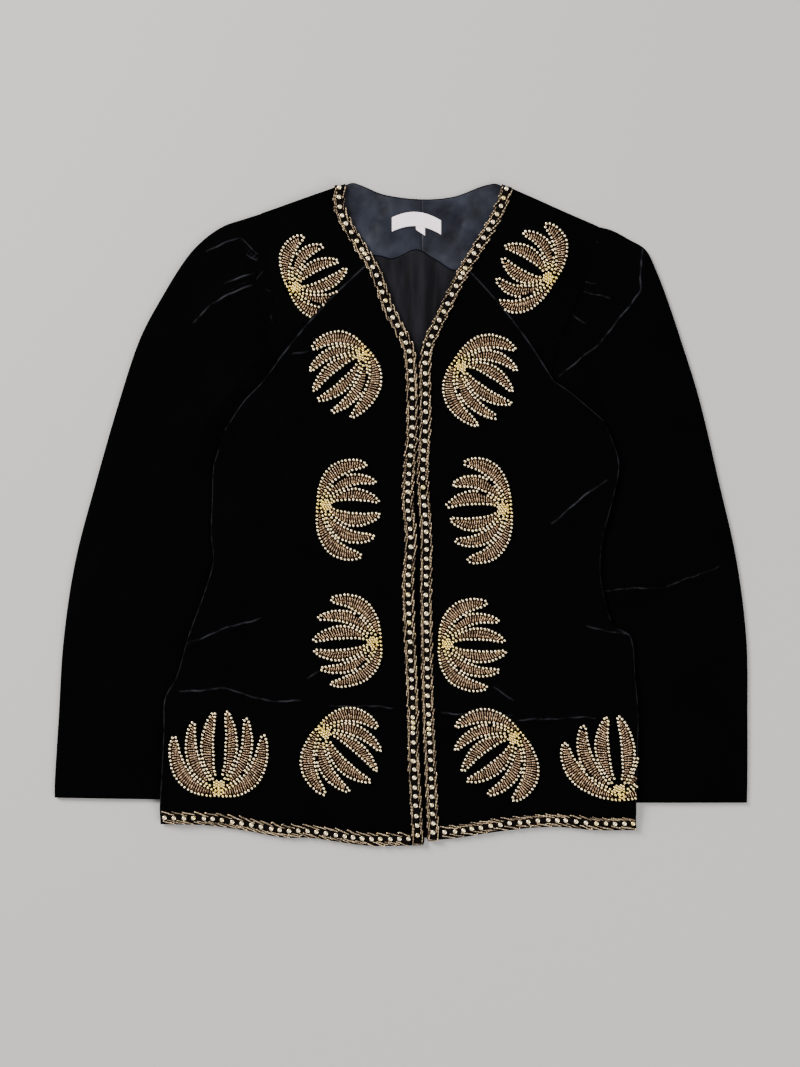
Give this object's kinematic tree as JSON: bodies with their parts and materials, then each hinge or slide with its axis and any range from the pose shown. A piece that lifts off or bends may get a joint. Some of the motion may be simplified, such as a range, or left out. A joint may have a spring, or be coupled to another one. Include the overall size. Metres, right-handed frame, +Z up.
{
  "type": "beaded velvet evening jacket laid flat",
  "caption": "Open-front velvet jacket laid flat on its back, fronts edge to edge, with gathered sleeve heads, beaded trim at front and hem, and beaded fan motifs.",
  "frame": {"origin": "middle of the laid-out jacket's box, on the surface that it lies on", "axes": "+Z up from the surface, +Y towards the neck, +X towards the wearer's left sleeve"},
  "size_m": [0.692, 0.662, 0.012],
  "materials": {
    "velvet": "cut pile",
    "satin": "satin",
    "lining": "smooth",
    "label": "woven",
    "beads": "gold lined glass"
  },
  "bodies": {
    "root": {"back_panel": "velvet", "front_right": "velvet", "front_left": "velvet", "sleeve_right": "velvet", "sleeve_left": "velvet", "back_neck_facing_right": "satin", "back_neck_facing_left": "satin", "back_lining": "lining", "label": "label", "size_tab": "label", "front_trim_right": "beads", "front_trim_left": "beads", "hem_trim_right": "beads", "hem_trim_left": "beads", "motif_right_shoulder": "beads", "motif_right_chest": "beads", "motif_right_bust": "beads", "motif_right_waist": "beads", "motif_right_hem_front": "beads", "motif_right_hem_side": "beads", "motif_left_shoulder": "beads", "motif_left_chest": "beads", "motif_left_bust": "beads", "motif_left_waist": "beads", "motif_left_hem_front": "beads", "motif_left_hem_side": "beads"}
  },
  "joints": []
}
